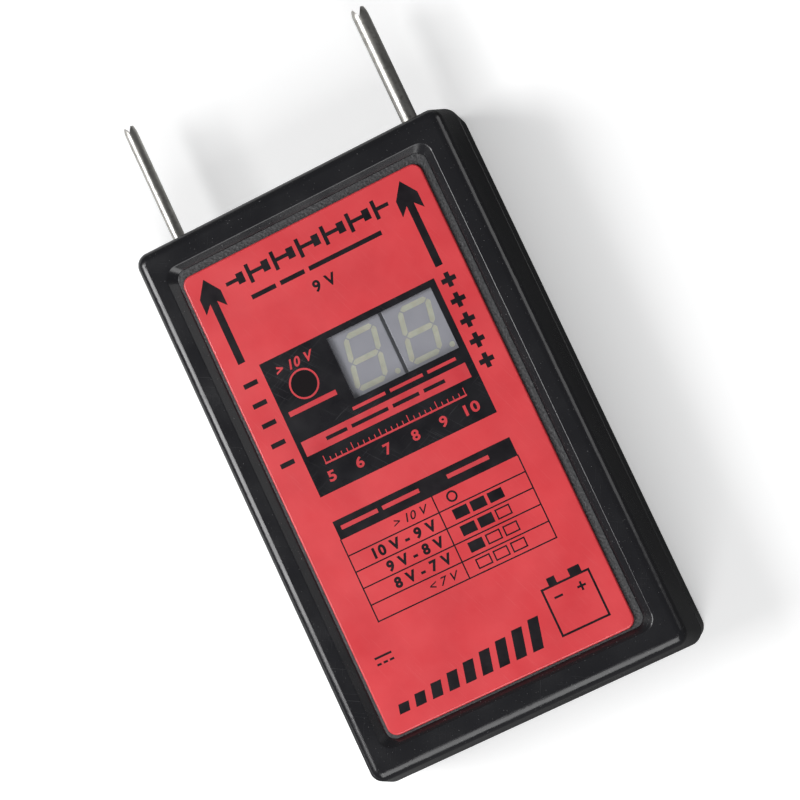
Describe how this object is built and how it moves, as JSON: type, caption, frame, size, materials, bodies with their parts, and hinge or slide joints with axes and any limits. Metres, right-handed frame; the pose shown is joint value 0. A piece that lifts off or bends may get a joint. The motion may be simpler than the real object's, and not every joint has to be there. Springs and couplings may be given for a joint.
{
  "type": "battery tester",
  "caption": "Flat hand-held battery tester: plastic case with a recessed label, a small digit display behind a window, and notched metal contact probes at its top end.",
  "frame": {"origin": "middle of the flat rear face, which the tester rests on", "axes": "+X to the right seen from the front, +Y along the case towards the probes, +Z out of the front face"},
  "size_m": [0.0752, 0.1518, 0.028],
  "materials": {
    "case_black": "moulded, glossy, fine scratches",
    "label_red": "printed film, satin gloss",
    "window_clear": "clear film",
    "window_smoked": "dark tinted film",
    "display_grey": "grey moulded face",
    "segment_milky": "cast resin, unlit",
    "tinned_copper": "tinned",
    "lamp_red": "tinted resin, unlit",
    "probe_nickel": "turned, nickel plated",
    "zinc_steel": "zinc plated",
    "nut_brass": "turned",
    "wire_black": "PVC insulation",
    "wire_red": "PVC insulation",
    "board_laminate": "solder resist over glass laminate",
    "package_black": "moulded epoxy",
    "resistor_grey": "cement coating",
    "resistor_beige": "lacquer",
    "capacitor_yellow": "moulded box",
    "capacitor_blue": "shrink sleeve",
    "trimmer_blue": "moulded",
    "rotor_white": "moulded"
  },
  "bodies": {
    "case": {"front_shell": "case_black", "rear_shell": "case_black", "front_label": "label_red", "display_window": "window_clear", "lamp_window": "window_smoked", "display_tens": "display_grey", "display_units": "display_grey", "segments_tens": "segment_milky", "segments_units": "segment_milky", "display_pins": "tinned_copper", "overvoltage_led": "lamp_red", "probe_minus": "probe_nickel", "probe_plus": "probe_nickel", "probe_lock_washers": "zinc_steel", "probe_solder_tags": "tinned_copper", "probe_nuts": "nut_brass", "wire_minus": "wire_black", "wire_plus": "wire_red", "circuit_board": "board_laminate", "converter_ic": "package_black", "decoder_ic": "package_black", "comparator_ic": "package_black", "ic_legs": "tinned_copper", "digit_transistors": "package_black", "voltage_regulator": "package_black", "load_resistors": "resistor_grey", "segment_resistors": "resistor_beige", "protection_diode": "package_black", "axial_leads": "tinned_copper", "upright_leads": "tinned_copper", "film_capacitors": "capacitor_yellow", "smoothing_capacitor": "capacitor_blue", "trimmer_body": "trimmer_blue", "case_screws": "zinc_steel", "board_screws": "zinc_steel"},
    "trimmer_rotor": {"trimmer_rotor": "rotor_white"}
  },
  "joints": [
    {"name": "trimmer_turn", "type": "hinge", "parent": "case", "child": "trimmer_rotor", "pos_m": [-0.0265, -0.007, 0.021], "axis": [0, 0, 1], "range_deg": [-130, 130]}
  ]
}
